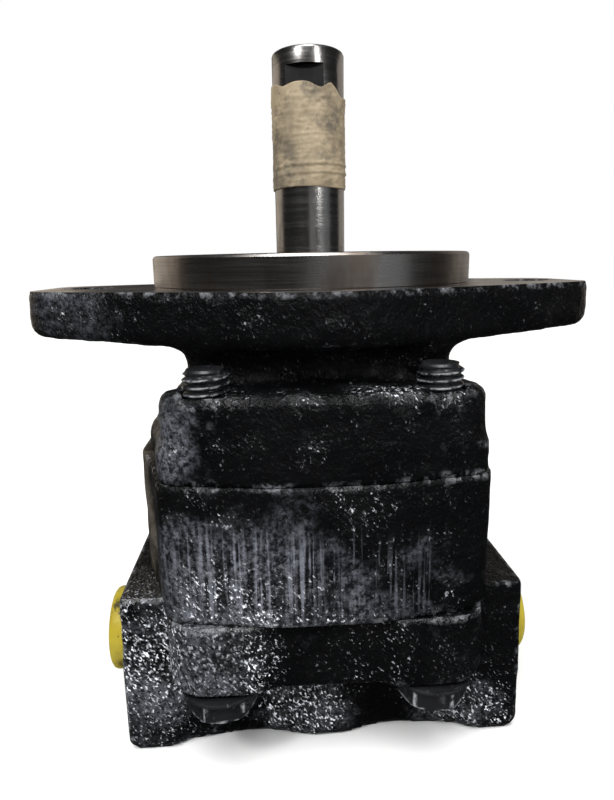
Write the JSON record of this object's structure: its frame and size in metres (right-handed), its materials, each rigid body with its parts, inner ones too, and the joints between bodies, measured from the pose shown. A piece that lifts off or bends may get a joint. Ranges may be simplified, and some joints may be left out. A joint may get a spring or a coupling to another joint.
{
  "type": "hydraulic gear pump",
  "caption": "Cast-iron hydraulic gear pump with a two-bolt mounting flange, keyed-flat drive shaft, side ports closed by push-in plugs and an inner meshed gear pair.",
  "frame": {"origin": "on the drive-shaft axis at the pump's base, the flat underside of the rear boss", "axes": "+Z along the drive shaft from the port end to the mounting flange, +X towards the right-hand port and ear, +Y from the drive gear to the idler gear"},
  "size_m": [0.174, 0.1652, 0.213],
  "materials": {
    "black_paint": "gloss paint on rough castings",
    "ground_steel": "ground and polished",
    "screw_steel": "black oxide, oily",
    "bearing_bronze": "machined",
    "seal_rubber": "matt",
    "masking_tape": "stained, wrinkled",
    "plug_plastic": "moulded, flecked with paint"
  },
  "bodies": {
    "pump_body": {"port_end_cover": "black_paint", "gear_housing": "black_paint", "shaft_end_cover": "black_paint", "thrust_plate_rear": "bearing_bronze", "thrust_plate_front": "bearing_bronze", "channel_seal_rear": "seal_rubber", "channel_seal_front": "seal_rubber", "section_seal_rear": "seal_rubber", "section_seal_front": "seal_rubber", "bushing_rear_drive": "bearing_bronze", "bushing_rear_idler": "bearing_bronze", "bushing_front_drive": "bearing_bronze", "bushing_front_idler": "bearing_bronze", "shaft_lip_seal": "seal_rubber", "retaining_ring": "screw_steel", "cap_screw_near_left": "screw_steel", "cap_screw_near_right": "screw_steel", "cap_screw_far_left": "screw_steel", "cap_screw_far_right": "screw_steel", "washer_near_left": "screw_steel", "washer_near_right": "screw_steel", "washer_far_left": "screw_steel", "washer_far_right": "screw_steel", "dowel_pin_rear_left": "ground_steel", "dowel_pin_rear_right": "ground_steel", "dowel_pin_front_left": "ground_steel", "dowel_pin_front_right": "ground_steel"},
    "drive_shaft": {"drive_gear_shaft": "ground_steel", "shaft_tape": "masking_tape"},
    "idler_shaft": {"idler_gear_shaft": "ground_steel"},
    "left_plug": {"port_plug_left": "plug_plastic"},
    "right_plug": {"port_plug_right": "plug_plastic"}
  },
  "joints": [
    {"name": "drive_shaft_spin", "type": "hinge", "parent": "pump_body", "child": "drive_shaft", "pos_m": [0, 0, 0], "axis": [0, 0, 1], "continuous": true},
    {"name": "idler_shaft_spin", "type": "hinge", "parent": "pump_body", "child": "idler_shaft", "pos_m": [0, 0.048, 0], "axis": [0, 0, 1], "continuous": true},
    {"name": "port_plug_left_pull", "type": "slide", "parent": "pump_body", "child": "left_plug", "axis": [-1, 0, 0], "range_m": [0, 0.03]},
    {"name": "port_plug_right_pull", "type": "slide", "parent": "pump_body", "child": "right_plug", "axis": [1, 0, 0], "range_m": [0, 0.03]}
  ],
  "couplings": [
    {"joint": "idler_shaft_spin", "follows": "drive_shaft_spin", "ratio": -1}
  ]
}
